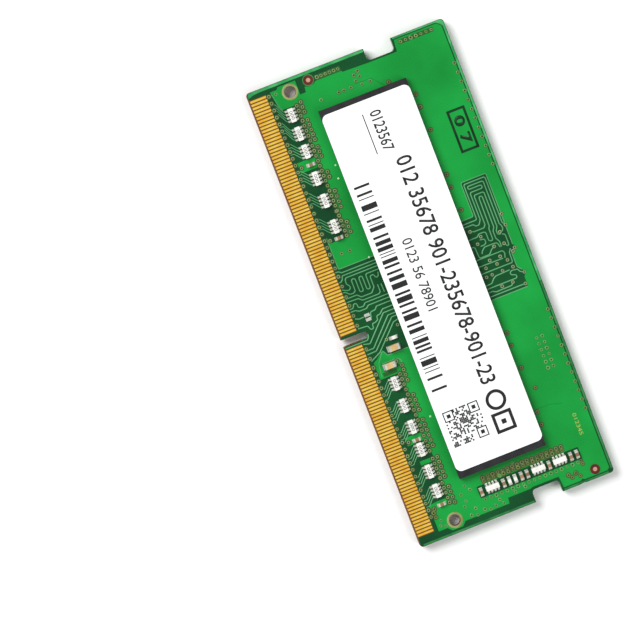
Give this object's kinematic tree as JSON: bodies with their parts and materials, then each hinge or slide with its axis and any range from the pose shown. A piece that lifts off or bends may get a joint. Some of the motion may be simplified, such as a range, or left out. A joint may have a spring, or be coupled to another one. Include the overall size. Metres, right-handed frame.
{
  "type": "ram module",
  "caption": "Flat small-outline memory board with gold edge contacts, a key notch, side latch notches, four square-cornered memory packages under one label, and small chip parts on both faces.",
  "frame": {"origin": "centre of the board outline, at the level of the surface that the parts on the back face rest on", "axes": "+X along the board away from the pin 1 end, +Y from the contact edge towards the top edge, +Z out of the front face that carries the memory packages"},
  "size_m": [0.0696, 0.03, 0.0029],
  "materials": {
    "laminate": "matte",
    "mask": "semi-gloss",
    "gold": "polished",
    "copper": "satin",
    "solder": "satin",
    "tin": "satin",
    "mould": "matte",
    "carrier": "matte",
    "silicon": "polished",
    "array_ceramic": "satin",
    "capacitor_ceramic": "satin",
    "bulk_ceramic": "satin",
    "resistor_ceramic": "satin",
    "label_paper": "matte",
    "glue": "matte"
  },
  "bodies": {
    "root": {"arrays_back_bodies": "array_ceramic", "arrays_back_ends": "tin", "arrays_front_bodies": "array_ceramic", "arrays_front_ends": "tin", "board_laminate": "laminate", "bulk_back_bodies": "bulk_ceramic", "bulk_back_ends": "tin", "bulk_front_bodies": "bulk_ceramic", "bulk_front_ends": "tin", "capacitors_back_bodies": "capacitor_ceramic", "capacitors_back_ends": "tin", "capacitors_front_bodies": "capacitor_ceramic", "capacitors_front_ends": "tin", "contacts_back_long": "gold", "contacts_back_short": "gold", "contacts_front_long": "gold", "contacts_front_short": "gold", "decouplers_back_bodies": "capacitor_ceramic", "decouplers_back_ends": "tin", "dots_back": "copper", "dots_front": "copper", "eeprom_body": "mould", "eeprom_lands": "tin", "hole_sleeves": "copper", "label_face": "label_paper", "label_glue": "glue", "mask_back": "mask", "mask_front": "mask", "memory1_balls": "solder", "memory1_carrier": "carrier", "memory1_die": "silicon", "memory1_mould": "mould", "memory2_balls": "solder", "memory2_carrier": "carrier", "memory2_die": "silicon", "memory2_mould": "mould", "memory3_balls": "solder", "memory3_carrier": "carrier", "memory3_die": "silicon", "memory3_mould": "mould", "memory4_balls": "solder", "memory4_carrier": "carrier", "memory4_die": "silicon", "memory4_mould": "mould", "resistors_back_bodies": "resistor_ceramic", "resistors_back_ends": "tin", "resistors_front_bodies": "resistor_ceramic", "resistors_front_ends": "tin", "spare_lands": "tin"}
  },
  "joints": []
}
